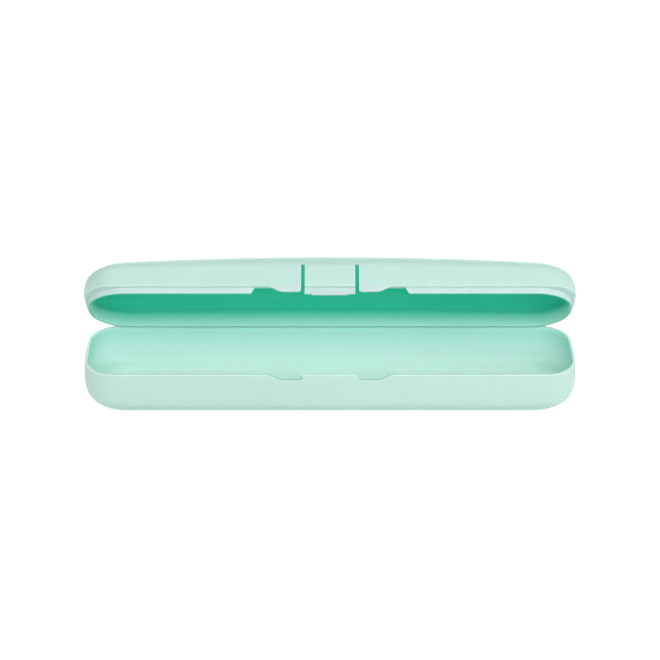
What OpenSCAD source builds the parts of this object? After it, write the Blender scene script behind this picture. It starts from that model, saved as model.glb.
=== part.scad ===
// Travel case for an electric toothbrush: a long moulded tray with rounded ends,
// and a hinged lid whose front wall carries a sprung latch tab between two slits.
// The frame: X runs along the case, the latch faces -Y, the hinge is at +Y and the
// origin is the centre of the flat underside. The lid is drawn closed and then
// swung open about the hinge axis.

/* [Case] */
// Length over the two rounded ends
case_l = 205; // [180:1:240]
// Width across the front and rear walls
case_w = 42.5; // [36:0.5:60]
// Height of the tray up to its rim
base_h = 20; // [16:0.5:30]
// Height of the lid above the rim at mid length
lid_h = 15; // [14:0.5:26]
// How much lower the lid is at its two ends
lid_crown = 3.5; // [0:0.1:4]
// Radius of the four corners, seen from above
corner_r = 12.4; // [9:0.2:14]
// How far the two ends bulge
end_bulge = 1; // [0:0.1:3]
// Length of the rounding where an end meets the underside or the top
end_round_l = 8.5; // [5:0.5:10]
// Height of that rounding
end_round_h = 11.2; // [9:0.2:12]
// Thickness of the moulded walls
wall_t = 1.3; // [1.1:0.1:2]
// Radius of the long edges under the tray
base_fillet_r = 7.4; // [4:0.2:8]
// Radius of the long edges on top of the lid
lid_fillet_r = 6.2; // [4:0.2:8]
// How far the tray's sides swell at mid height
wall_swell = 0.3; // [0:0.1:0.8]
// Radius of the small edges of the rim and the ledge
edge_r = 0.3; // [0.2:0.05:0.4]
// Angle at which the lid stands open, 0 is closed
lid_open = 49.5; // [0:0.5:120]

/* [Lip] */
// Depth of the lid's lip below the rim
lip_depth = 2.7; // [1.5:0.1:4]
// Thickness of the lip
lip_t = 1; // [0.8:0.1:1.4]
// Gap between the lip and the tray's wall
lip_gap = 0.25; // [0.15:0.05:0.5]
// Radius of the lip's four corners, seen from above
lip_corner_r = 16; // [14:0.5:17]
// Height of the thicker band that carries the lip inside the lid
band_h = 3; // [2:0.5:4]
// Height over which the band thins to the wall's thickness
band_slope_h = 4; // [1:0.5:5]

/* [Latch] */
// Width of the sprung tab
tab_w = 20.8; // [14:0.1:30]
// Width of the slit on each side of the tab
slit_w = 1.5; // [1:0.1:2.4]
// Height of the slits above the rim
slit_h = 9.8; // [7:0.1:10]
// Width of the bead that snaps into the tray
bead_w = 14.6; // [8:0.1:20]
// Radius of the bead
bead_r = 0.5; // [0.35:0.05:0.6]
// Gap between the bead and its groove
bead_gap = 0.2; // [0.1:0.05:0.3]
// Depth of the ears beside the slits, below the rim
ear_drop = 2.2; // [1.2:0.1:3]
// Length of the flat lower edge of each ear
ear_flat = 7.2; // [5:0.1:12]
// Length of the curve that ends each ear
ear_curve = 7; // [3:0.1:8]
// Radius of the ear's corner at the slit
ear_corner_r = 1.2; // [0.6:0.1:1.6]
// Length without a lip, between the ear's curve and the lip
lip_break = 4.9; // [3:0.1:10]
// Length of the slope at the end of the lip
lip_slope = 1.6; // [0.5:0.1:3]
// Gap between an ear and its recess in the tray
ear_gap = 0.3; // [0.2:0.05:0.6]

/* [Hinge] */
// Distance of each hinge from mid length
hinge_x = 55; // [30:1:70]
// Distance of the hinge axis behind the rear wall
hinge_out = 1.3; // [1.1:0.1:1.5]
// Outer radius of the barrels
barrel_r = 1.9; // [1.7:0.1:2]
// Length of the lid's barrel
lid_barrel_l = 6; // [4:0.5:12]
// Length of each of the tray's two barrels
base_barrel_l = 5; // [3:0.5:8]
// Gap round the barrels and between their ends
barrel_gap = 0.3; // [0.2:0.05:0.4]
// How far each barrel's gusset runs along the wall
gusset_l = 4.5; // [3.5:0.1:6]
// Diameter of the hinge pins
pin_d = 1.6; // [1.2:0.1:2]
// Running clearance of a pin in the lid's barrel, on the radius
pin_play = 0.05; // [0.02:0.01:0.1]
// How deep a pin's ends sit inside the outer barrels
pin_sink = 0.3; // [0.1:0.1:1]

/* [Hidden] */
shell_colour = [0.78, 0.92, 0.88];
pin_colour = [0.75, 0.76, 0.78];
round_fn = 48;
corner_steps = 8;
face_steps = 4;
end_steps = 2 * (corner_steps + face_steps);
fillet_steps = 6;
wall_steps = 3;
edge_steps = 2;
crown_spans = 14;
curve_steps = 8;
cut = 1;

straight_half = case_l / 2 - end_round_l - corner_r;
front_y = -case_w / 2;
lip_in = wall_t + lip_gap;
lip_corner = lip_corner_r + lip_in;
band_in = lip_in + lip_t;
ear_start = tab_w / 2 + slit_w;
ear_end = ear_start + ear_flat + ear_curve;
land_half = ear_start - 1.5 * ear_gap;
bead_y = front_y + lip_in;
bead_z = base_h - lip_depth;
hinge_y = case_w / 2 + hinge_out;
clear_r = barrel_r + barrel_gap;
outer_barrel_x = lid_barrel_l / 2 + barrel_gap + base_barrel_l / 2;
pin_l = lid_barrel_l + 2 * barrel_gap + 2 * base_barrel_l - 2 * pin_sink;

// Plan view and lofting

// A row of a surface is [offset, side_in, end_in, z, r]: its distance inside the outer
// face, how far roundings draw in its sides and its ends, its height and the radius of
// its corners.

// How far a rounding of the given reach and rise draws a wall in at a height above
// the flat face that it runs into.
function rounding(reach, rise, height) =
    height >= rise ? 0 : reach * (1 - sqrt(1 - pow(1 - height / rise, 2)));

function row(offset, fillet_r, z, flat_z) =
    let (
        height = abs(z - flat_z),
        side_r = fillet_r - offset
    )
    [offset, rounding(side_r, side_r, height),
        rounding(end_round_l - offset, end_round_h - offset, height), z, corner_r - offset];

// Heights above a flat face at which rows lie, through its fillet and up the walls.
function heights(side_r, rise) =
    concat(
        [for (k = [0:fillet_steps]) side_r * (1 - cos(90 * k / fillet_steps))],
        [for (k = [1:wall_steps]) side_r + (rise - side_r) * k / wall_steps]
    );

// Point number k of an end, counted from its middle: how far it has turned on to
// the end's face, from 0 to 1, and its y.
function end_point(k, half_w, r) =
    abs(k) <= face_steps
    ? [1, (half_w - r) * k / face_steps]
    : let (a = 90 * (abs(k) - face_steps) / corner_steps)
        [cos(a), sign(k) * (half_w - r + r * sin(a))];

// Outline of a row seen from above, with the crown taken off its heights.
function outline(row, spans, crown) =
    let (
        half_w = case_w / 2 - row[0] - row[1],
        half_l = case_l / 2 - row[0] - row[2],
        r = min(row[4], 0.9 * half_w),
        z = row[3],
        right = [for (k = [-end_steps / 2:end_steps / 2])
            let (p = end_point(k, half_w, r))
            [half_l - r + p.x * (r - end_bulge * pow(p.y / half_w, 2)), p.y]],
        rear = [for (k = [1:1:spans - 1]) [straight_half - 2 * straight_half * k / spans, half_w]],
        left = [for (p = right) -p],
        front = [for (p = rear) -p]
    )
    [for (p = concat(right, rear, left, front))
        [p.x, p.y, z - crown * pow(2 * p.x / case_l, 2) * max(z, 0) / lid_h]];

// Strips across a ring that join points with the same x, from one tip to the other.
function cap(count) =
    [for (i = [0:count / 2 - 1])
        let (
            a = (end_steps / 2 + i) % count,
            a_next = (end_steps / 2 + i + 1) % count,
            b = (end_steps / 2 - i + count) % count,
            b_next = (end_steps / 2 - i - 1 + count) % count
        )
        i == 0 ? [a, a_next, b_next]
        : i == count / 2 - 1 ? [a, a_next, b]
        : [a, a_next, b_next, b]];

function reversed(list) = [for (i = [len(list) - 1:-1:0]) list[i]];

function shifted(face, start) = [for (i = face) i + start];

// A closed solid through rows, whose first and last rows are closed by caps.
module loft(rows, spans = 1, crown = 0) {
    rings = [for (row = rows) outline(row, spans, crown)];
    count = len(rings[0]);
    last = count * (len(rings) - 1);
    sides = [for (r = [0:len(rings) - 2], i = [0:count - 1])
        let (
            low = r * count + i,
            low_next = r * count + (i + 1) % count
        )
        each [
            [low, low + count, low_next + count],
            [low, low_next + count, low_next]
        ]];
    polyhedron(
        points = [for (ring = rings) each ring],
        faces = concat(
            cap(count),
            sides,
            [for (face = cap(count)) reversed(shifted(face, last))]
        )
    );
}

// Arc of points about a centre, from angle a0 to a1.
function arc(centre, r, a0, a1, steps) =
    [for (k = [0:steps])
        let (a = a0 + (a1 - a0) * k / steps)
        centre + r * [cos(a), sin(a)]];

// Tray

// Rows without roundings, from points [offset, z]. corner is the radius that their
// corners would have at the outer face.
function plain_rows(points, corner = corner_r) = [for (p = points) [p.x, 0, 0, p.y, corner - p.x]];

function swelled(row) =
    let (swell = wall_swell * sin(180 * row[3] / base_h))
    [row[0] - swell, row[1], row[2], row[3], row[4] + swell];

base_outside = concat(
    [for (z = heights(base_fillet_r, end_round_h)) row(0, base_fillet_r, z, 0)],
    plain_rows([[0, (end_round_h + base_h) / 2]]),
    plain_rows(arc([edge_r, base_h - edge_r], edge_r, 180, 90, edge_steps))
);
base_inside = concat(
    plain_rows(arc([wall_t - edge_r, base_h - edge_r], edge_r, 90, 0, edge_steps)),
    reversed([for (h = heights(base_fillet_r - wall_t, end_round_h - wall_t))
        row(wall_t, base_fillet_r, wall_t + h, wall_t)])
);

// Outline, from the front, of the ear to the right of the tab. grow widens it for
// the recess that it drops into.
function ear_points(grow) =
    let (
        inner = ear_start - 1.5 * grow,
        bottom = -ear_drop - grow,
        curve_x = ear_start + ear_flat + grow
    )
    concat(
        arc([inner + ear_corner_r, bottom + ear_corner_r], ear_corner_r, 180, 270, 4),
        [for (k = [0:curve_steps])
            let (t = k / curve_steps)
            [curve_x + ear_curve * t, bottom * (1 + cos(180 * t)) / 2]]
    );

// A slab through the front wall, of thickness depth, cut to points seen from the front.
module front_slab(points, depth) {
    translate([0, front_y + depth, base_h])
        rotate([90, 0, 0])
            linear_extrude(depth)
                polygon(points);
}

module both_sides() {
    children();
    mirror([1, 0, 0]) children();
}

// Recesses in the rim for the ears, open at the top.
module ear_recesses() {
    recess = ear_points(ear_gap);
    both_sides()
        translate([0, -cut, 0])
            front_slab(concat(recess, [[ear_end + ear_gap, cut], [land_half, cut]]),
                wall_t + lip_gap + cut);
}

// The land that the tab closes on: a groove for the bead and a slope that leads it in.
module land_groove() {
    groove_w = bead_w + 2 * bead_gap;
    translate([-groove_w / 2, bead_y, bead_z])
        rotate([0, 90, 0])
            cylinder(r = bead_r + bead_gap, h = groove_w, $fn = round_fn);
}

module lead_in() {
    slope = wall_t / 2;
    translate([-land_half, front_y + wall_t, base_h])
        rotate([90, 0, 90])
            linear_extrude(2 * land_half)
                polygon([[-slope, cut / 2], [cut, cut / 2], [cut, -2 * slope], [0, -2 * slope],
                    [-slope, 0]]);
}

// Hinge

module along_x(length, r) {
    translate([-length / 2, 0, 0])
        rotate([0, 90, 0])
            cylinder(r = r, h = length, $fn = round_fn);
}

// Where the straight side of a gusset leaves the barrel.
gusset_foot = [-hinge_out, -gusset_l];
gusset_angle = atan2(gusset_foot.y, gusset_foot.x)
    + acos(barrel_r / norm(gusset_foot));
gusset_touch = barrel_r * [cos(gusset_angle), sin(gusset_angle)];

// One barrel and the gusset that runs down the wall in front of it.
module barrel(length) {
    along_x(length, barrel_r);
    translate([-length / 2, 0, 0])
        rotate([90, 0, 90])
            linear_extrude(length)
                polygon([[-hinge_out - wall_t / 4, 0], [0, 0], gusset_touch, gusset_foot,
                    gusset_foot - [wall_t / 4, 0]]);
}

module at_hinge(side, x = 0) {
    translate([side * hinge_x + x, hinge_y, base_h])
        children();
}

module for_hinges() {
    for (side = [-1, 1])
        at_hinge(side) children();
}

module for_outer_barrels() {
    for_hinges()
        for (end = [-1, 1])
            translate([end * outer_barrel_x, 0, 0])
                children();
}

module hinge_pin(side) {
    color(pin_colour)
        at_hinge(side)
            along_x(pin_l, pin_d / 2);
}

// Pieces

module base_shell() {
    color(shell_colour)
        difference() {
            union() {
                difference() {
                    loft(concat([for (row = base_outside) swelled(row)], base_inside));
                    ear_recesses();
                    land_groove();
                    lead_in();
                    for_hinges() along_x(lid_barrel_l + 2 * barrel_gap, clear_r);
                }
                for_outer_barrels() barrel(base_barrel_l);
            }
            for_outer_barrels() along_x(base_barrel_l + cut, pin_d / 2);
        }
}

lip_edge_r = lip_t / 4;
band_top = band_h + band_slope_h;
ceiling_z = lid_h - wall_t;
lid_inside = concat(
    [for (h = heights(lid_fillet_r - wall_t, end_round_h - wall_t))
        if (ceiling_z - h > band_top)
            row(wall_t, lid_fillet_r, ceiling_z - h, ceiling_z)],
    [row(wall_t, lid_fillet_r, band_top, ceiling_z)],
    plain_rows([[band_in, band_h]], lip_corner),
    plain_rows(arc([band_in - lip_edge_r, lip_edge_r - lip_depth], lip_edge_r, 0, -90, edge_steps),
        lip_corner)
);
lid_outside = concat(
    plain_rows(arc([lip_in + lip_edge_r, lip_edge_r - lip_depth], lip_edge_r, 270, 180, edge_steps),
        lip_corner),
    plain_rows([[lip_in, 0]], lip_corner),
    plain_rows(arc([edge_r, edge_r], edge_r, 270, 180, edge_steps)),
    reversed([for (h = heights(lid_fillet_r, end_round_h)) row(0, lid_fillet_r, lid_h - h, lid_h)])
);

module closed_lid() {
    translate([0, 0, base_h])
        loft(concat(lid_inside, lid_outside), crown_spans, lid_crown);
}

// The part of the front wall, with its lip, that is cut out for the tab.
module tab_window(width) {
    translate([-width / 2, front_y - cut, base_h - lip_depth - cut])
        cube([width, band_in + 2 * cut, lip_depth + cut + slit_h]);
}

// The stretch beside each slit that has no lip.
module lip_breaks() {
    lip_start = ear_end + lip_break;
    both_sides()
        translate([0, lip_in / 2, 0])
            front_slab([[0, 0], [lip_start, 0], [lip_start + lip_slope, -lip_depth],
                [lip_start + lip_slope, -lip_depth - cut], [0, -lip_depth - cut]], band_in);
}

module ears() {
    root = 2 * edge_r;
    both_sides()
        front_slab(concat(ear_points(0), [[ear_end, root], [ear_start, root]]), wall_t);
}

// The lid swings about the hinge axis.
module swung_open() {
    translate([0, hinge_y, base_h])
        rotate([-lid_open, 0, 0])
            translate([0, -hinge_y, -base_h])
                children();
}

module lid_shell() {
    color(shell_colour)
        swung_open()
            difference() {
                union() {
                    difference() {
                        closed_lid();
                        tab_window(2 * ear_start);
                        lip_breaks();
                        for_outer_barrels() along_x(base_barrel_l + 2 * barrel_gap, clear_r);
                    }
                    ears();
                    for_hinges() mirror([0, 0, 1]) barrel(lid_barrel_l);
                }
                for_hinges() along_x(lid_barrel_l + cut, pin_d / 2 + pin_play);
            }
}

module latch_tab() {
    color(shell_colour)
        swung_open() {
            intersection() {
                closed_lid();
                tab_window(tab_w);
            }
            translate([0, bead_y, bead_z])
                along_x(bead_w, bead_r);
        }
}

module hinge_pin_left() {
    hinge_pin(-1);
}

module hinge_pin_right() {
    hinge_pin(1);
}

base_shell();
lid_shell();
latch_tab();
hinge_pin_left();
hinge_pin_right();
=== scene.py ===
"""A mint travel case for an electric toothbrush, standing open on a white floor."""
import math

import bmesh
import bpy
from mathutils import Matrix, Vector


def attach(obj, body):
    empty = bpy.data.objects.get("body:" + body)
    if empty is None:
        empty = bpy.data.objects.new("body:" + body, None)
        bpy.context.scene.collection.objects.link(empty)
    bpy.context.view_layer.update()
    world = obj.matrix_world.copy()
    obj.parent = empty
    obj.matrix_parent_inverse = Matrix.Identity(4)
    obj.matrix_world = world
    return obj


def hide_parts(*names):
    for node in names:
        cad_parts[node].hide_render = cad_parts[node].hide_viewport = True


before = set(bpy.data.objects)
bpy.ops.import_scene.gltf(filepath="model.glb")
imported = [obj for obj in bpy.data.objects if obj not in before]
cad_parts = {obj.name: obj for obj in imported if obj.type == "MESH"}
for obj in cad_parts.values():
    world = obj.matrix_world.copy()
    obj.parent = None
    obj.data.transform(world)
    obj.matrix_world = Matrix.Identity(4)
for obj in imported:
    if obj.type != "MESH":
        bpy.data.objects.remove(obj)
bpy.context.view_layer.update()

MM = 0.001

# Main sizes, in millimetres, as in the construction
CASE_L = 205.0
CASE_W = 42.5
BASE_H = 20.0
LID_H = 15.0
LID_CROWN = 3.5
CORNER_R = 12.4
END_BULGE = 1.0
END_ROUND_L = 8.5
END_ROUND_H = 11.2
WALL_T = 1.3
BASE_FILLET_R = 7.4
LID_FILLET_R = 6.2
WALL_SWELL = 0.3
EDGE_R = 0.3
LID_OPEN = 49.5
LIP_DEPTH = 2.7
LIP_T = 1.0
LIP_GAP = 0.25
LIP_CORNER_R = 16.0
BAND_H = 3.0
BAND_SLOPE_H = 4.0
TAB_W = 20.8
SLIT_W = 1.5
SLIT_H = 9.8
BEAD_W = 14.6
BEAD_R = 0.5
BEAD_GAP = 0.2
EAR_DROP = 2.2
EAR_FLAT = 7.2
EAR_CURVE = 7.0
EAR_CORNER_R = 1.2
LIP_BREAK = 4.9
LIP_SLOPE = 1.6
EAR_GAP = 0.3
HINGE_X = 55.0
HINGE_OUT = 1.3
BARREL_R = 1.9
LID_BARREL_L = 6.0
BASE_BARREL_L = 5.0
BARREL_GAP = 0.3
GUSSET_L = 4.5
PIN_D = 1.6
PIN_PLAY = 0.05

# How many times EAR_GAP a recess reaches past the ear beside the latch
EAR_SIDE_SHARE = 1.5

# Sizes worked out from them
STRAIGHT_HALF = CASE_L / 2 - END_ROUND_L - CORNER_R
FRONT_Y = -CASE_W / 2
LIP_IN = WALL_T + LIP_GAP
LIP_CORNER = LIP_CORNER_R + LIP_IN
BAND_IN = LIP_IN + LIP_T
BAND_TOP = BAND_H + BAND_SLOPE_H
TAB_HALF = TAB_W / 2
EAR_START = TAB_HALF + SLIT_W
EAR_CURVE_START = EAR_START + EAR_FLAT
EAR_END = EAR_CURVE_START + EAR_CURVE
LAND_HALF = EAR_START - EAR_SIDE_SHARE * EAR_GAP
LIP_START = EAR_END + LIP_BREAK
HINGE_Y = CASE_W / 2 + HINGE_OUT
OUTER_BARREL_X = LID_BARREL_L / 2 + BARREL_GAP + BASE_BARREL_L / 2

# Fineness of the meshes
CORNER_STEPS = 24
FACE_STEPS = 8
END_PLACES = 2 * (CORNER_STEPS + FACE_STEPS) + 1
FILLET_STEPS = 16
WALL_STEPS = 6
EDGE_STEPS = 4
CURVE_STEPS = 12
ROUND_STEPS = 64
GUSSET_STEPS = 40
SIDE_SPACING = 5.0
ROW_SPACING = 0.1
QUARTER_TURNS = range(0, 91, 15)
HALF_TURNS = range(0, 181, 15)

# The rounding of the cuts, and the angle past which an edge is shaded as sharp
CUT_EDGE_R = 0.15
SMOOTH_ANGLE = math.radians(32)

# Allowances in millimetres, for points that lie in one place and for cutting tools
SAME_PLACE = 1e-4
CUT_SPARE = 1.0

# The most of the case's half width that the corners of an end take
CORNER_SHARE = 0.9


# Shapes

def arc(centre, r, start, end, steps):
    """Points of an arc, with the angles in degrees."""
    angles = [math.radians(start + (end - start) * k / steps) for k in range(steps + 1)]
    return [(centre[0] + r * math.cos(a), centre[1] + r * math.sin(a)) for a in angles]


def between(a, b, steps):
    """Points strictly between two numbers."""
    return [a + (b - a) * k / steps for k in range(1, steps)]


def clamp(t):
    """A number, kept between 0 and 1."""
    return min(max(t, 0.0), 1.0)


def ease(t):
    """A smooth fall from 1 to 0 as t goes from 0 to 1."""
    return (1 + math.cos(math.pi * clamp(t))) / 2


def side_stations(special):
    """Places along a straight side, closer together around the latch, from right to left."""
    marks = sorted({round(abs(x), 5) for x in special} | {0.0, STRAIGHT_HALF})
    half = [0.0]
    for low, high in zip(marks, marks[1:]):
        steps = max(1, math.ceil((high - low) / SIDE_SPACING))
        half += between(low, high, steps) + [high]
    return half[::-1] + [-x for x in half[1:]]


def rounding(reach, rise, height):
    """How far a rounding of that reach and rise draws a wall in, at a height above its flat face."""
    if height >= rise:
        return 0.0
    return reach * (1 - math.sqrt(max(1 - (1 - height / rise) ** 2, 0.0)))


def shell_row(offset, fillet_r, height):
    """How far the sides and the ends are drawn in, at a height above the flat underside or top."""
    side_r = fillet_r - offset
    return rounding(side_r, side_r, height), rounding(END_ROUND_L - offset, END_ROUND_H - offset, height)


def heights(side_r, rise):
    """Heights above a flat face at which rows lie, through its fillet and up the walls."""
    fillet = [side_r * (1 - math.cos(math.pi / 2 * k / FILLET_STEPS)) for k in range(FILLET_STEPS + 1)]
    return fillet + [side_r + (rise - side_r) * k / WALL_STEPS for k in range(1, WALL_STEPS + 1)]


def end_point(k, half_w, r):
    """Point number k of an end, counted from its middle: its turn on to the end's face, and its y."""
    if abs(k) <= FACE_STEPS:
        return 1.0, (half_w - r) * k / FACE_STEPS
    a = math.pi / 2 * (abs(k) - FACE_STEPS) / CORNER_STEPS
    return math.cos(a), math.copysign(half_w - r + r * math.sin(a), k)


def places_round(stations):
    """The named places of a ring: (x, side), where side is front, rear, right or left."""
    right = [(k, "right") for k in range(-(END_PLACES // 2), END_PLACES // 2 + 1)]
    left = [(k, "left") for k, _ in right]
    return right + [(x, "rear") for x in stations] + left + [(-x, "front") for x in stations]


def place_point(place, offset, side_in, end_in, corner):
    """Where a place of a ring lies, seen from above. corner is its radius at the outer face."""
    along, side = place
    half_w = CASE_W / 2 - offset - side_in
    if side in ("front", "rear"):
        return along, half_w if side == "rear" else -half_w
    half_l = CASE_L / 2 - offset - end_in
    r = min(corner - offset, CORNER_SHARE * half_w)
    turn, y = end_point(along, half_w, r)
    x = half_l - r + turn * (r - END_BULGE * (y / half_w) ** 2)
    return (x, y) if side == "right" else (-x, -y)


def loft(rows, places, inside, crown=0.0, skip=None):
    """Sweeps rows round the case. A row is a function of a place: (offset, side_in, end_in, z, corner).

    Faces between the rows numbered in inside take the second material. skip(row, a, b) leaves
    out faces. Returns the bmesh and its grid of vertices, [row][place].
    """
    bm = bmesh.new()
    grid = []
    for row in rows:
        ring = []
        for place in places:
            offset, side_in, end_in, z, corner = row(place)
            x, y = place_point(place, offset, side_in, end_in, corner)
            drop = crown * (2 * x / CASE_L) ** 2 * max(z, 0.0) / LID_H
            ring.append(bm.verts.new((x * MM, y * MM, (z - drop) * MM)))
        grid.append(ring)
    count = len(places)
    for r in range(len(grid) - 1):
        for k in range(count):
            n = (k + 1) % count
            if skip and skip(r, k, n):
                continue
            face = bm.faces.new((grid[r][k], grid[r][n], grid[r + 1][n], grid[r + 1][k]))
            face.material_index = int(r in inside)
    close_cap(bm, grid[0], int(0 in inside))
    close_cap(bm, grid[-1], int(len(grid) - 2 in inside))
    return bm, grid


def close_cap(bm, ring, material_index):
    """Closes a ring with strips that join the front and the rear."""
    count = len(ring)
    tip = END_PLACES // 2
    for i in range(count // 2):
        a, a_next = ring[(tip + i) % count], ring[(tip + i + 1) % count]
        b, b_next = ring[(tip - i) % count], ring[(tip - i - 1) % count]
        face = list(dict.fromkeys((a, a_next, b_next, b)))
        if len(face) > 2:
            bm.faces.new(face).material_index = material_index


def join_rings(bm, a, b):
    """The faces between two rings with as many vertices."""
    return [bm.faces.new(corners) for corners in zip(a, a[1:] + a[:1], b[1:] + b[:1], b)]


def add_object(name, data):
    """A new object, linked to the scene."""
    obj = bpy.data.objects.new(name, data)
    bpy.context.scene.collection.objects.link(obj)
    return obj


def to_object(name, bm, *materials):
    """A mesh object from a bmesh, with doubled points merged and its normals outward."""
    bmesh.ops.remove_doubles(bm, verts=bm.verts, dist=SAME_PLACE * MM)
    bmesh.ops.dissolve_degenerate(bm, edges=bm.edges, dist=SAME_PLACE * MM)
    bmesh.ops.recalc_face_normals(bm, faces=bm.faces)
    mesh = bpy.data.meshes.new(name)
    bm.to_mesh(mesh)
    bm.free()
    for material in materials:
        mesh.materials.append(material)
    return add_object(name, mesh)


def smooth(obj):
    """Smooth shading, with edges kept where the surface turns sharply."""
    obj.data.shade_smooth()
    obj.data.set_sharp_from_angle(angle=SMOOTH_ANGLE)


def combine(obj, other, operation):
    """Joins other to obj, or cuts it from obj, and removes other."""
    mod = obj.modifiers.new(operation, "BOOLEAN")
    mod.operation = operation
    mod.solver = "EXACT"
    mod.object = other
    depsgraph = bpy.context.evaluated_depsgraph_get()
    mesh = bpy.data.meshes.new_from_object(obj.evaluated_get(depsgraph))
    obj.modifiers.clear()
    old = obj.data
    obj.data = mesh
    bpy.data.meshes.remove(old)
    bpy.data.objects.remove(other)


# Latch outlines, seen from the front

def ear_edge(x, grow):
    """Height of an ear's lower edge above the rim at x, or 0 beyond it."""
    x = abs(x)
    start = EAR_START - EAR_SIDE_SHARE * grow
    drop = EAR_DROP + grow
    if x < start:
        return 0.0
    if x < start + EAR_CORNER_R:
        off = start + EAR_CORNER_R - x
        return -drop + EAR_CORNER_R - math.sqrt(EAR_CORNER_R ** 2 - off ** 2)
    return -drop * ease((x - EAR_CURVE_START - grow) / EAR_CURVE)


def ear_stations(grow):
    """Places where an ear's edge turns."""
    start = EAR_START - EAR_SIDE_SHARE * grow
    corner = [start + EAR_CORNER_R * (1 - math.cos(math.radians(a))) for a in QUARTER_TURNS]
    curve = [EAR_CURVE_START + grow + EAR_CURVE * k / CURVE_STEPS for k in range(CURVE_STEPS + 1)]
    return corner + curve


# Tray

LEAD_IN = WALL_T / 2
LEAD_IN_ROWS = 3
GROOVE_R = BEAD_R + BEAD_GAP
GROOVE_Z = BASE_H - LIP_DEPTH
GROOVE_HALF = BEAD_W / 2 + BEAD_GAP
STEP_W = 0.12
LOWER_WALL_ROWS = 4


def swell(z):
    """How far the tray's wall stands out at a height."""
    return WALL_SWELL * math.sin(math.pi * z / BASE_H)


def rim_drop(place):
    """How far the rim lies below its normal height: the recess for an ear."""
    x, side = place
    if side != "front" or abs(x) < LAND_HALF:
        return 0.0
    return -ear_edge(x, EAR_GAP)


def lead_in(place, z):
    """Slope on the inner edge of the land, which leads the bead in."""
    x, side = place
    if side != "front" or abs(x) > LAND_HALF:
        return 0.0
    return LEAD_IN * clamp(1 - (BASE_H - z) / (2 * LEAD_IN))


def groove(place, z):
    """Depth of the bead's groove in the inside of the front wall."""
    x, side = place
    if side != "front" or abs(x) > GROOVE_HALF or abs(z - GROOVE_Z) > GROOVE_R:
        return 0.0
    return max(math.sqrt(GROOVE_R ** 2 - (z - GROOVE_Z) ** 2) - LIP_GAP, 0.0)


def outer_wall_row(z, offset=0.0, follow=1.0):
    """A row of the tray's outer wall, which follows the rim down by the given share."""
    side_in, end_in = shell_row(0.0, BASE_FILLET_R, z)

    def row(place):
        low = z - follow * rim_drop(place)
        return offset - swell(low), side_in, end_in, low, CORNER_R
    return row


def inner_wall_row(z, offset=WALL_T, follow=0.0):
    """A row of the tray's inner wall."""
    side_in, end_in = shell_row(WALL_T, BASE_FILLET_R, z - WALL_T)

    def row(place):
        inset = offset - lead_in(place, z) - groove(place, z)
        return inset, side_in, end_in, z - follow * rim_drop(place), CORNER_R
    return row


def tray_rows():
    """Rows from the underside up the outside, over the rim and down the inside to the floor.

    Also returns the number of the first inner row.
    """
    wall_top = BASE_H - EDGE_R
    rise = wall_top - END_ROUND_H
    rows = [outer_wall_row(z, follow=0.0) for z in heights(BASE_FILLET_R, END_ROUND_H)]
    rows += [outer_wall_row(z, follow=(z - END_ROUND_H) / rise)
             for z in between(END_ROUND_H, wall_top, WALL_STEPS)]
    rows += [outer_wall_row(z, offset) for offset, z in arc((EDGE_R, wall_top), EDGE_R, 180, 90, EDGE_STEPS)]
    rim_inside = arc((WALL_T - EDGE_R, wall_top), EDGE_R, 90, 0, EDGE_STEPS)
    rows += [inner_wall_row(z, offset, 1.0) for offset, z in rim_inside]
    first_inside = len(rows) - 1
    levels = [wall_top - 2 * LEAD_IN * (k + 1) / LEAD_IN_ROWS for k in range(LEAD_IN_ROWS)]
    levels += [GROOVE_Z + GROOVE_R * math.cos(math.radians(a)) for a in HALF_TURNS]
    levels += between(GROOVE_Z - GROOVE_R, END_ROUND_H, LOWER_WALL_ROWS)
    rows += [inner_wall_row(z, follow=(z - END_ROUND_H) / rise) for z in levels]
    floor = heights(BASE_FILLET_R - WALL_T, END_ROUND_H - WALL_T)
    rows += [inner_wall_row(WALL_T + h) for h in reversed(floor)]
    return rows, first_inside


def make_tray(outside, inside):
    """The tray with its barrels."""
    special = ear_stations(EAR_GAP) + [LAND_HALF, LAND_HALF - STEP_W, GROOVE_HALF, GROOVE_HALF + STEP_W]
    rows, first_inside = tray_rows()
    bm, _ = loft(rows, places_round(side_stations(special)), range(first_inside, len(rows)))
    tray = to_object("tray_shell", bm, outside, inside)
    add_hinge(tray, False)
    return tray


# Hinge

def circle(r):
    """Outline of a round bar."""
    turns = [2 * math.pi * k / ROUND_STEPS for k in range(ROUND_STEPS)]
    return [(r * math.cos(a), r * math.sin(a)) for a in turns]


def bar_x(name, x, length, outline):
    """A bar along the hinge axis, centred at x, with its outline drawn round the axis."""
    bm = bmesh.new()
    ends = []
    for end in (-1, 1):
        ends.append([bm.verts.new(((x + end * length / 2) * MM, (HINGE_Y + y) * MM, (BASE_H + z) * MM))
                     for y, z in outline])
    join_rings(bm, *ends)
    for ring in ends:
        bm.faces.new(ring)
    return to_object(name, bm)


def gusset_points():
    """Outline of a gusset seen along the hinge axis, in the tray's sense."""
    foot = (-HINGE_OUT, -GUSSET_L)
    angle = math.atan2(foot[1], foot[0]) + math.acos(BARREL_R / math.hypot(*foot))
    touch_deg = math.degrees(angle)
    round_part = arc((0, 0), BARREL_R, touch_deg, 180, GUSSET_STEPS)
    root = WALL_T / 4
    return [foot, *round_part, (-HINGE_OUT - root, 0), (-HINGE_OUT - root, -GUSSET_L)]


def barrel(x, length, bore_r, up):
    """A barrel with its gusset: down the tray's wall, or up the lid's."""
    sign = -1 if up else 1
    solid = bar_x("barrel", x, length, [(y, sign * z) for y, z in gusset_points()])
    combine(solid, bar_x("bore", x, length + CUT_SPARE, circle(bore_r)), "DIFFERENCE")
    return solid


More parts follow.
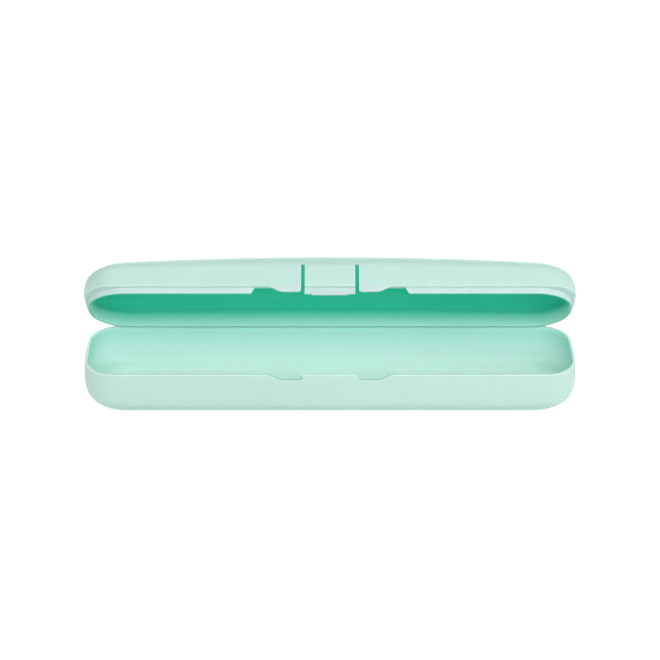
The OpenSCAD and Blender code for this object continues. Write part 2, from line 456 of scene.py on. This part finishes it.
def add_hinge(obj, up):
    """Cuts the room for the other piece's barrels into obj and adds its own. The lid has the middle one."""
    outer = [-OUTER_BARREL_X, OUTER_BARREL_X]
    own, other = ([0.0], outer) if up else (outer, [0.0])
    own_l, other_l = (LID_BARREL_L, BASE_BARREL_L) if up else (BASE_BARREL_L, LID_BARREL_L)
    bore_r = PIN_D / 2 + (PIN_PLAY if up else 0.0)
    room_outline = circle(BARREL_R + BARREL_GAP)
    for middle in (-HINGE_X, HINGE_X):
        for x in other:
            combine(obj, bar_x("room", middle + x, other_l + 2 * BARREL_GAP, room_outline), "DIFFERENCE")
        for x in own:
            combine(obj, barrel(middle + x, own_l, bore_r, up), "UNION")


# Lid, drawn closed with heights from the rim

CEILING_Z = LID_H - WALL_T
LIP_EDGE_R = LIP_T / 4
BAND_ROWS = [BAND_H / 2, BAND_H / 6]
LOW_WALL_ROWS = [1.0, 2.4]
TO_RIM = Matrix.Translation((0, 0, BASE_H * MM))


def lip_edge(place):
    """Height of the lip's lower edge, 0 where the lip is left out beside the latch."""
    x, side = place
    if side != "front":
        return -LIP_DEPTH
    return -LIP_DEPTH * clamp((abs(x) - LIP_START) / LIP_SLOPE)


def lid_edge(place):
    """Height of the outer wall's lower edge."""
    x, side = place
    return ear_edge(x, 0.0) if side == "front" else 0.0


def cut_round(off):
    """How far the rounding of a cut draws the outer face back, at a distance from the cut."""
    if off >= CUT_EDGE_R:
        return 0.0
    return CUT_EDGE_R - math.sqrt(CUT_EDGE_R ** 2 - (CUT_EDGE_R - max(off, 0.0)) ** 2)


def slit_round(place):
    """How far the lid's outer face draws back at the slit's edge."""
    x, side = place
    off = abs(x) - EAR_START
    return cut_round(off) if side == "front" and off >= -SAME_PLACE else 0.0


def inner_lid_row(z):
    """A row of the lid's inner wall, which thickens smoothly down to its band, most at the corners."""
    side_in, end_in = shell_row(WALL_T, LID_FILLET_R, CEILING_Z - z)
    offset = WALL_T + (BAND_IN - WALL_T) * ease((z - BAND_H) / BAND_SLOPE_H)
    corner = CORNER_R + (LIP_CORNER - CORNER_R) * ease((z - BAND_H) / (CEILING_Z - BAND_H))

    def row(place):
        return offset, side_in, end_in, z, corner
    return row


def outer_lid_row(z):
    """A row of the lid's outer wall, drawn back at the slits and stretched over the ears."""
    side_in, end_in = shell_row(0.0, LID_FILLET_R, LID_H - z)

    def row(place):
        low = z + (lid_edge(place) + EDGE_R) * (1 - clamp(z / SLIT_H))
        return slit_round(place) if z <= SLIT_H else 0.0, side_in, end_in, low, CORNER_R
    return row


def lip_row(offset, above):
    """A row of the lip, at a height above its lower edge."""
    def row(place):
        edge = lip_edge(place)
        return offset, 0.0, 0.0, edge + above if edge < -LIP_EDGE_R else edge, LIP_CORNER
    return row


def edge_row(offset, above):
    """A row of the outer wall's lower edge."""
    def row(place):
        return max(offset, slit_round(place)), 0.0, 0.0, lid_edge(place) + above, CORNER_R
    return row


def lid_rows():
    """Rows from the ceiling down the inside, round the lip and up the outside.

    Also returns the numbers of the inner and the outer row at the top of the slits, and of
    the row where the lip's lower edge ends.
    """
    inside = [CEILING_Z - h for h in heights(LID_FILLET_R - WALL_T, END_ROUND_H - WALL_T)]
    inside = sorted(inside + [SLIT_H, BAND_H], reverse=True)
    rows = [inner_lid_row(z) for z in inside]
    inner_top = inside.index(SLIT_H)
    rows += [lambda place, z=z: (BAND_IN, 0.0, 0.0, z, LIP_CORNER) for z in BAND_ROWS]
    rows += [lip_row(*p) for p in arc((BAND_IN - LIP_EDGE_R, LIP_EDGE_R), LIP_EDGE_R, 0, -90, EDGE_STEPS)]
    rows += [lip_row(*p) for p in arc((LIP_IN + LIP_EDGE_R, LIP_EDGE_R), LIP_EDGE_R, 270, 180, EDGE_STEPS)]
    lip_end = len(rows) - 1
    rows.append(lambda place: (LIP_IN, 0.0, 0.0, 0.0, LIP_CORNER))
    rows.append(lambda place: (WALL_T, 0.0, 0.0, 0.0, CORNER_R))
    rows.append(lambda place: (WALL_T, 0.0, 0.0, lid_edge(place), CORNER_R))
    rows += [edge_row(*p) for p in arc((EDGE_R, EDGE_R), EDGE_R, 270, 180, EDGE_STEPS)]
    outside = [LID_H - h for h in heights(LID_FILLET_R, END_ROUND_H)]
    outside = [z for z in outside if abs(z - SLIT_H) > ROW_SPACING]
    outside = sorted(outside + [SLIT_H, SLIT_H + CUT_EDGE_R / 2] + LOW_WALL_ROWS)
    outer_top = len(rows) + outside.index(SLIT_H)
    rows += [outer_lid_row(z) for z in outside]
    return rows, inner_top, outer_top, lip_end


def swing(obj):
    """Carries a piece drawn closed, with heights from the rim, to the open lid's place."""
    hinge = Vector((0, HINGE_Y * MM, BASE_H * MM))
    turn = Matrix.Rotation(math.radians(-LID_OPEN), 4, "X")
    obj.data.transform(Matrix.Translation(hinge) @ turn @ Matrix.Translation(-hinge) @ TO_RIM)


def close_window(bm, grid, window, inner_top, outer_top):
    """Closes the cut edges round the opening for the tab, and drops the vertices left over."""
    for k, n in zip(window, window[1:]):
        bm.faces.new((grid[inner_top][k], grid[inner_top][n], grid[outer_top][n], grid[outer_top][k]))
    for k in (window[0], window[-1]):
        bm.faces.new([grid[r][k] for r in range(inner_top, outer_top + 1)])
    bmesh.ops.delete(bm, geom=[v for v in bm.verts if not v.link_faces], context="VERTS")


def make_lid(outside, inside):
    """The lid with its barrels, which are added while it is closed, and then opened."""
    special = ear_stations(0.0) + [EAR_START, EAR_START + CUT_EDGE_R / 2, EAR_START + CUT_EDGE_R, TAB_HALF]
    special += [LIP_START + LIP_SLOPE * k / EDGE_STEPS for k in range(EDGE_STEPS + 1)]
    places = places_round(side_stations(special))
    rows, inner_top, outer_top, lip_end = lid_rows()

    def in_window(k):
        x, side = places[k]
        return side == "front" and abs(x) <= EAR_START + SAME_PLACE

    def skip(r, k, n):
        return in_window(k) and in_window(n) and inner_top <= r < outer_top

    bm, grid = loft(rows, places, range(lip_end), LID_CROWN, skip)
    window = [k for k in range(len(places)) if in_window(k)]
    close_window(bm, grid, window, inner_top, outer_top)
    lid = to_object("lid_cover", bm, outside, inside)
    lid.data.transform(TO_RIM)
    add_hinge(lid, True)
    lid.data.transform(TO_RIM.inverted())
    swing(lid)
    return lid


# Latch tab

BEAD_SLOPE_W = 0.3


def tab_section(bead):
    """Outline of the tab seen from its side: (inset, height), from the root down the outside.

    It has as many points with the bead as without. Also returns the number of the point
    where the lip's inner side starts.
    """
    fillet_start = LID_H - LID_FILLET_R
    levels = [SLIT_H, (SLIT_H + fillet_start) / 2, fillet_start, SLIT_H / 2]
    outside = [(shell_row(0.0, LID_FILLET_R, LID_H - z)[0], z) for z in levels]
    outside += reversed(arc((EDGE_R, EDGE_R), EDGE_R, 270, 180, EDGE_STEPS))
    lip = [(LIP_IN, 0.0), (LIP_IN, -LIP_DEPTH + 2 * BEAD_R)]
    reach = BEAD_R if bead else 0.0
    nose = [(LIP_IN - reach * math.sin(math.radians(a)),
             -LIP_DEPTH + BEAD_R * math.cos(math.radians(a)) * (1 if bead or a <= 90 else 0))
            for a in HALF_TURNS]
    drop = -LIP_DEPTH - reach
    lip_inside = arc((BAND_IN - LIP_EDGE_R, drop + LIP_EDGE_R), LIP_EDGE_R, 270, 360, EDGE_STEPS)
    inner_in = shell_row(WALL_T, LID_FILLET_R, CEILING_Z - SLIT_H)[0]
    inside = [(BAND_IN, BAND_H), (WALL_T, BAND_TOP), (WALL_T, CEILING_Z - LID_FILLET_R + WALL_T),
              (WALL_T + inner_in, SLIT_H)]
    shown = outside + lip + nose
    return shown + lip_inside + inside, len(shown) + EDGE_STEPS


def make_tab(outside, inside):
    """The tab between the slits, open with the lid."""
    half = [TAB_HALF, TAB_HALF - CUT_EDGE_R / 3, TAB_HALF - CUT_EDGE_R, (TAB_HALF + BEAD_W / 2) / 2,
            BEAD_W / 2 + BEAD_SLOPE_W, BEAD_W / 2, BEAD_W / 4]
    stations = half + [0.0] + [-x for x in reversed(half)]
    bm = bmesh.new()
    rings = []
    for x in stations:
        back = cut_round(TAB_HALF - abs(x))
        outline, inner_start = tab_section(abs(x) <= BEAD_W / 2)
        rings.append([bm.verts.new((x * MM, (FRONT_Y + max(inset, back)) * MM, z * MM))
                      for inset, z in outline])
    for a, b in zip(rings, rings[1:]):
        for k, face in enumerate(join_rings(bm, a, b)):
            face.material_index = int(k >= inner_start)
    bm.faces.new(rings[0])
    bm.faces.new(rings[-1])
    tab = to_object("latch_tongue", bm, outside, inside)
    swing(tab)
    return tab


# Materials

def srgb(r, g, b):
    """A linear colour from sRGB numbers of 0 to 255."""
    def channel(v):
        v /= 255
        return v / 12.92 if v <= 0.04045 else ((v + 0.055) / 1.055) ** 2.4
    return channel(r), channel(g), channel(b), 1.0


# Colours by the height in mm above the tray's underside, and above the lid's rim. Besides the mint of the
# plastic, these ramps hold painted light and shade.
# Painted shade: the tray's outside gets darker towards the underside. Painted highlight: it is paler along
# the top of the rim.
TRAY_OUTSIDE_PAINTED_LIGHT = [(3.0, srgb(178, 213, 201)), (8.0, srgb(187, 218, 208)), (19.6, srgb(187, 218, 208)),
                (19.9, srgb(206, 234, 226))]
# Painted light and shade: the tray's inside is palest on the floor and darkest high on the inner wall, under
# the open lid.
TRAY_INSIDE_PAINTED_LIGHT = [(1.3, srgb(230, 251, 245)), (2.0, srgb(211, 240, 233)), (3.3, srgb(196, 228, 220)),
               (9.0, srgb(208, 237, 231)), (13.0, srgb(195, 235, 227)), (17.5, srgb(181, 232, 221)),
               (19.5, srgb(188, 244, 231))]
# Painted highlight: the lip below the lid's rim is paler. Painted shade: the lid's outside gets darker
# towards its top.
LID_OUTSIDE_PAINTED_LIGHT = [(-0.3, srgb(196, 216, 213)), (0.0, srgb(188, 220, 211)), (10.5, srgb(188, 220, 211)),
               (14.5, srgb(172, 214, 201))]
# Painted shade: the lid's inside is deep green higher up and paler near the rim, where light reaches in. A
# painted shadow line runs along the lip's lower edge.
LID_INSIDE_PAINTED_LIGHT = [(-2.7, srgb(126, 195, 177)), (-2.4, srgb(178, 231, 219)), (0.0, srgb(157, 222, 208)),
              (3.4, srgb(102, 216, 195)), (5.5, srgb(74, 214, 189)), (9.0, srgb(68, 218, 190)),
              (12.0, srgb(70, 225, 193))]
STEEL = srgb(190, 192, 196)

# How far light scatters under the plastic's skin, and how much of it does
SCATTER_MM = 1.5
SCATTER_SHARE = 0.4

# Waves per metre of the fine grain and of the slow drift in colour
PLASTIC_GRAIN = 2600.0
PLASTIC_DRIFT = 18.0
STEEL_GRAIN = 900.0
STEEL_DRIFT = 300.0

GRAIN_HEIGHT_MM = 0.02
ROUGH_SPREAD = 0.1


def new_material(name):
    """A material, its tree and its shader."""
    material = bpy.data.materials.new(name)
    material.use_nodes = True
    tree = material.node_tree
    return material, tree, tree.nodes["Principled BSDF"]


def add_node(tree, kind, **values):
    """A new node with the given settings."""
    node = tree.nodes.new(kind)
    for key, value in values.items():
        setattr(node, key, value)
    return node


def fine_texture(tree, shader, scale, bump, rough_low, rough_high):
    """A fine grain, in bump and roughness. Returns the coordinates it lies in."""
    coords = add_node(tree, "ShaderNodeTexCoord")
    grain = add_node(tree, "ShaderNodeTexNoise")
    grain.inputs["Scale"].default_value = scale
    grain.inputs["Detail"].default_value = 3.0
    tree.links.new(coords.outputs["Object"], grain.inputs["Vector"])
    bump_node = add_node(tree, "ShaderNodeBump")
    bump_node.inputs["Strength"].default_value = bump
    bump_node.inputs["Distance"].default_value = GRAIN_HEIGHT_MM * MM
    tree.links.new(grain.outputs["Fac"], bump_node.inputs["Height"])
    tree.links.new(bump_node.outputs["Normal"], shader.inputs["Normal"])
    rough = add_node(tree, "ShaderNodeMapRange")
    rough.inputs["To Min"].default_value = rough_low
    rough.inputs["To Max"].default_value = rough_high
    tree.links.new(grain.outputs["Fac"], rough.inputs["Value"])
    tree.links.new(rough.outputs["Result"], shader.inputs["Roughness"])
    return coords


def cloudy(tree, coords, colour, scale, darkest):
    """A colour, or a colour output, that drifts softly down to darkest times itself and back."""
    noise = add_node(tree, "ShaderNodeTexNoise")
    noise.inputs["Scale"].default_value = scale
    noise.inputs["Detail"].default_value = 2.0
    tree.links.new(coords.outputs["Object"], noise.inputs["Vector"])
    share = add_node(tree, "ShaderNodeMapRange")
    share.inputs["To Min"].default_value = darkest
    tree.links.new(noise.outputs["Fac"], share.inputs["Value"])
    scaled = add_node(tree, "ShaderNodeVectorMath", operation="SCALE")
    if isinstance(colour, tuple):
        scaled.inputs[0].default_value = colour[:3]
    else:
        tree.links.new(colour, scaled.inputs[0])
    tree.links.new(share.outputs["Result"], scaled.inputs["Scale"])
    return scaled.outputs["Vector"]


def height_ramp(tree, coords, direction, origin, stops):
    """A colour that changes with the distance from origin along direction: stops are (mm, colour)."""
    offset = add_node(tree, "ShaderNodeVectorMath", operation="SUBTRACT")
    offset.inputs[1].default_value = origin
    tree.links.new(coords.outputs["Object"], offset.inputs[0])
    along = add_node(tree, "ShaderNodeVectorMath", operation="DOT_PRODUCT")
    along.inputs[1].default_value = direction
    tree.links.new(offset.outputs["Vector"], along.inputs[0])
    low, high = stops[0][0], stops[-1][0]
    share = add_node(tree, "ShaderNodeMapRange")
    share.inputs["From Min"].default_value = low * MM
    share.inputs["From Max"].default_value = high * MM
    tree.links.new(along.outputs["Value"], share.inputs["Value"])
    ramp = add_node(tree, "ShaderNodeValToRGB")
    elements = ramp.color_ramp.elements
    while len(elements) < len(stops):
        elements.new(0.5)
    for element, (place, colour) in zip(elements, stops):
        element.position = (place - low) / (high - low)
        element.color = colour
    tree.links.new(share.outputs["Result"], ramp.inputs["Fac"])
    return ramp.outputs["Color"]


def moulded_material(name, colour_of, rough_low=0.42, shine=0.5):
    """A moulded plastic with spark-eroded grain, of the colour that colour_of(tree, coords) gives."""
    material, tree, shader = new_material(name)
    shader.inputs["Specular IOR Level"].default_value = shine
    shader.inputs["Subsurface Weight"].default_value = SCATTER_SHARE
    shader.inputs["Subsurface Radius"].default_value = (1.0, 1.0, 1.0)
    shader.inputs["Subsurface Scale"].default_value = SCATTER_MM * MM
    coords = fine_texture(tree, shader, PLASTIC_GRAIN, bump=0.1,
                          rough_low=rough_low, rough_high=rough_low + ROUGH_SPREAD)
    colour = cloudy(tree, coords, colour_of(tree, coords), PLASTIC_DRIFT, darkest=0.95)
    tree.links.new(colour, shader.inputs["Base Color"])
    return material


def up_tray(stops):
    """Colours by the height above the tray's underside, with painted light and shade in them."""
    return lambda tree, coords: height_ramp(tree, coords, (0, 0, 1), (0, 0, 0), stops)


def into_lid(stops):
    """Colours by the height above the rim of the open lid, with painted light and shade in them."""
    angle = math.radians(LID_OPEN)
    direction = (0, math.sin(angle), math.cos(angle))
    hinge = (0, HINGE_Y * MM, BASE_H * MM)
    return lambda tree, coords: height_ramp(tree, coords, direction, hinge, stops)


def steel_material():
    """Drawn wire, for the pins."""
    material, tree, shader = new_material("pin_steel")
    shader.inputs["Metallic"].default_value = 1.0
    coords = fine_texture(tree, shader, STEEL_GRAIN, bump=0.05, rough_low=0.25, rough_high=0.4)
    colour = cloudy(tree, coords, STEEL, STEEL_DRIFT, darkest=0.85)
    tree.links.new(colour, shader.inputs["Base Color"])
    return material


# Camera

CAMERA_UP_DEG = 29.0
CAMERA_DISTANCE = 0.9
CAMERA_FOCUS_PX = 2097.0
PICTURE_PX = 660
SENSOR_MM = 36.0
AIM_DROP = 2.06


def make_camera():
    """Looks along +Y at the hinge line, from the photograph's height."""
    angle = math.radians(CAMERA_UP_DEG)
    towards = Vector((0, -math.cos(angle), math.sin(angle)))
    up = Vector((0, math.sin(angle), math.cos(angle)))
    target = Vector((0, CASE_W / 2 * MM, BASE_H * MM)) - up * AIM_DROP * MM
    data = bpy.data.cameras.new("camera")
    data.sensor_width = SENSOR_MM
    data.lens = CAMERA_FOCUS_PX / PICTURE_PX * SENSOR_MM
    camera = add_object("camera", data)
    camera.location = target + towards * CAMERA_DISTANCE
    camera.rotation_euler = (-towards).to_track_quat("-Z", "Y").to_euler()
    bpy.context.scene.camera = camera


# Floor and light

FLOOR_SIZE = 6.0
FLOOR_WHITE = 0.92
FLOOR_GLOW = 0.58
WORLD_STRENGTH = 0.35

# Each lamp's place and size in metres, and its power in watts
LAMPS = {
    "key_softbox": ((0.08, -0.94, 0.73), (1.8, 0.6), 10.7),
    "top_softbox": ((0.06, -0.35, 1.05), (1.0, 0.5), 1.4),
    "back_softbox": ((0.0, 1.25, 0.4), (1.2, 0.6), 7.0),
    "left_fill": ((-1.1, -0.3, 0.35), (0.5, 0.5), 0.6),
    "right_fill": ((1.1, -0.3, 0.35), (0.5, 0.5), 2.6),
}


def seen_rays(tree):
    """1 for the rays in which the camera sees the white surroundings, and 0 for those that light."""
    path = add_node(tree, "ShaderNodeLightPath")
    seen = path.outputs["Is Camera Ray"]
    for kind in ("Is Glossy Ray", "Is Transmission Ray"):
        either = add_node(tree, "ShaderNodeMath", operation="MAXIMUM")
        tree.links.new(seen, either.inputs[0])
        tree.links.new(path.outputs[kind], either.inputs[1])
        seen = either.outputs["Value"]
    return seen


def make_floor():
    """A white floor that glows where the camera sees it, and keeps the object's shadow."""
    bm = bmesh.new()
    bmesh.ops.create_grid(bm, x_segments=1, y_segments=1, size=FLOOR_SIZE / 2)
    floor = to_object("floor", bm)
    material, tree, shader = new_material("floor_white")
    shader.inputs["Base Color"].default_value = (FLOOR_WHITE, FLOOR_WHITE, FLOOR_WHITE, 1)
    shader.inputs["Roughness"].default_value = 0.9
    shader.inputs["Specular IOR Level"].default_value = 0.0
    glow = add_node(tree, "ShaderNodeEmission")
    strength = add_node(tree, "ShaderNodeMath", operation="MULTIPLY")
    strength.inputs[1].default_value = FLOOR_GLOW
    tree.links.new(seen_rays(tree), strength.inputs[0])
    tree.links.new(strength.outputs["Value"], glow.inputs["Strength"])
    total = add_node(tree, "ShaderNodeAddShader")
    tree.links.new(shader.outputs["BSDF"], total.inputs[0])
    tree.links.new(glow.outputs["Emission"], total.inputs[1])
    tree.links.new(total.outputs["Shader"], tree.nodes["Material Output"].inputs["Surface"])
    floor.data.materials.append(material)


def make_world():
    """Soft light from all round, and white where the camera sees it."""
    world = bpy.data.worlds.new("studio")
    world.use_nodes = True
    tree = world.node_tree
    lit = tree.nodes["Background"]
    lit.inputs["Strength"].default_value = WORLD_STRENGTH
    lit.inputs["Color"].default_value = (1, 1, 1, 1)
    white = add_node(tree, "ShaderNodeBackground")
    mix = add_node(tree, "ShaderNodeMixShader")
    tree.links.new(seen_rays(tree), mix.inputs["Fac"])
    tree.links.new(lit.outputs["Background"], mix.inputs[1])
    tree.links.new(white.outputs["Background"], mix.inputs[2])
    tree.links.new(mix.outputs["Shader"], tree.nodes["World Output"].inputs["Surface"])
    bpy.context.scene.world = world


def add_lamp(name, place, target, size, power):
    """A softbox that faces the target."""
    data = bpy.data.lights.new(name, "AREA")
    data.shape = "RECTANGLE"
    data.size, data.size_y = size
    data.energy = power
    lamp = add_object(name, data)
    lamp.location = place
    lamp.rotation_euler = (Vector(target) - Vector(place)).to_track_quat("-Z", "Y").to_euler()


def make_lights():
    """All the lamps, facing the middle of the case at the height of the tray's rim."""
    centre = (0, 0, BASE_H * MM)
    for name, (place, size, power) in LAMPS.items():
        add_lamp(name, place, centre, size, power)


# Assembly

tray = make_tray(moulded_material("tray_outside_painted_light", up_tray(TRAY_OUTSIDE_PAINTED_LIGHT)),
                 moulded_material("tray_inside_painted_light", up_tray(TRAY_INSIDE_PAINTED_LIGHT)))
lid_outside = moulded_material("lid_outside", into_lid(LID_OUTSIDE_PAINTED_LIGHT))
lid_inside = moulded_material("lid_inside", into_lid(LID_INSIDE_PAINTED_LIGHT), rough_low=0.55, shine=0.1)
lid = make_lid(lid_outside, lid_inside)
tab = make_tab(lid_outside, lid_inside)
for piece in (tray, lid, tab):
    smooth(piece)
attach(tray, "tray")
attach(lid, "lid")
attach(tab, "latch")
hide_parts("base_shell")
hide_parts("lid_shell")
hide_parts("latch_tab")
steel = steel_material()
for name in ("hinge_pin_left", "hinge_pin_right"):
    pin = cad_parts[name]
    pin.data.materials.clear()
    pin.data.materials.append(steel)
    smooth(pin)

make_camera()
make_floor()
make_world()
make_lights()
bpy.context.scene.view_settings.view_transform = "Standard"
